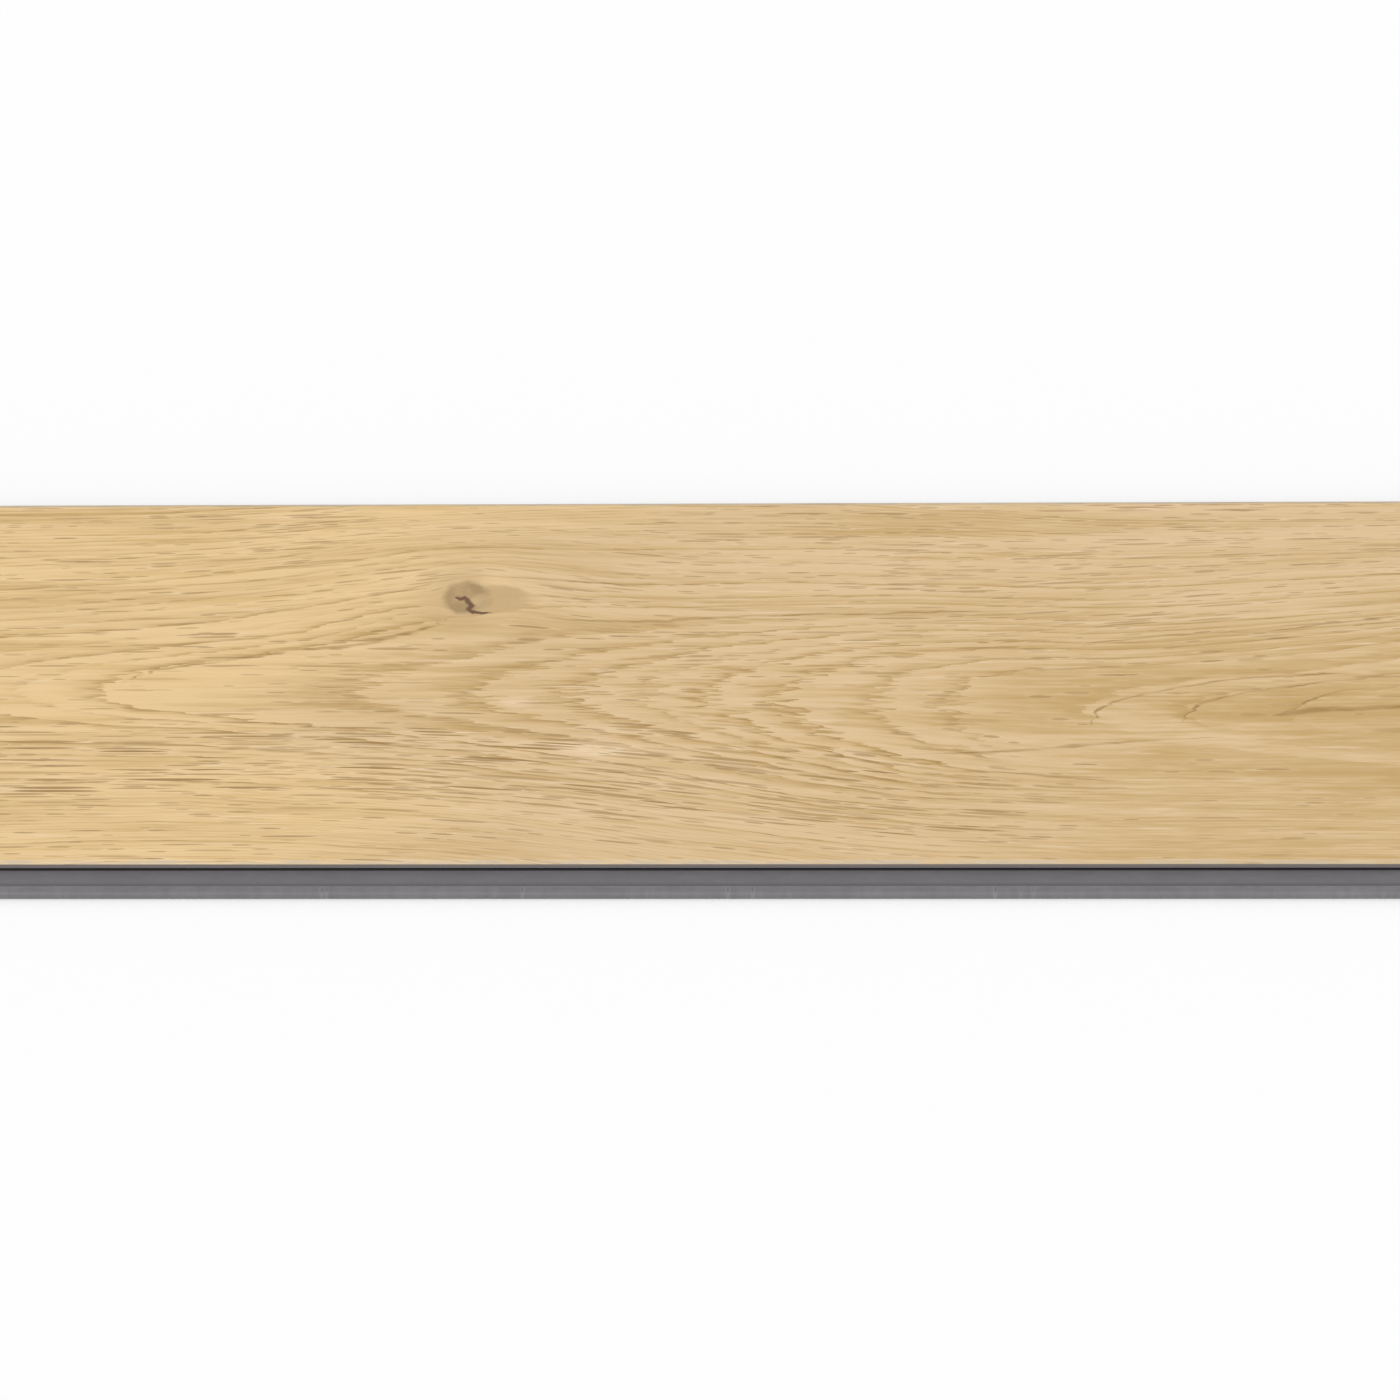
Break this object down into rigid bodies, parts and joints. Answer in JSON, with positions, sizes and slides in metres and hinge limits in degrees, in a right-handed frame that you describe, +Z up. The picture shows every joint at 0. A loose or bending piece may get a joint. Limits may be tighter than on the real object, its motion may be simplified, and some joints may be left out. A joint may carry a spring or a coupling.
{
  "type": "herringbone vinyl plank",
  "caption": "Rigid-core click vinyl floor plank with an oak-look face, bevelled edges and a milled tongue-and-strip lock on every edge, for laying in a herringbone.",
  "frame": {"origin": "on the underside, below the middle of the face", "axes": "+X along the length towards the end with the tongue, +Y across the width towards the edge with the tongue, +Z up out of the face"},
  "size_m": [0.6094, 0.1294, 0.005],
  "materials": {
    "core": "matte",
    "decor": "satin"
  },
  "bodies": {
    "root": {"core_board": "core", "decor_layer": "decor"}
  },
  "joints": []
}
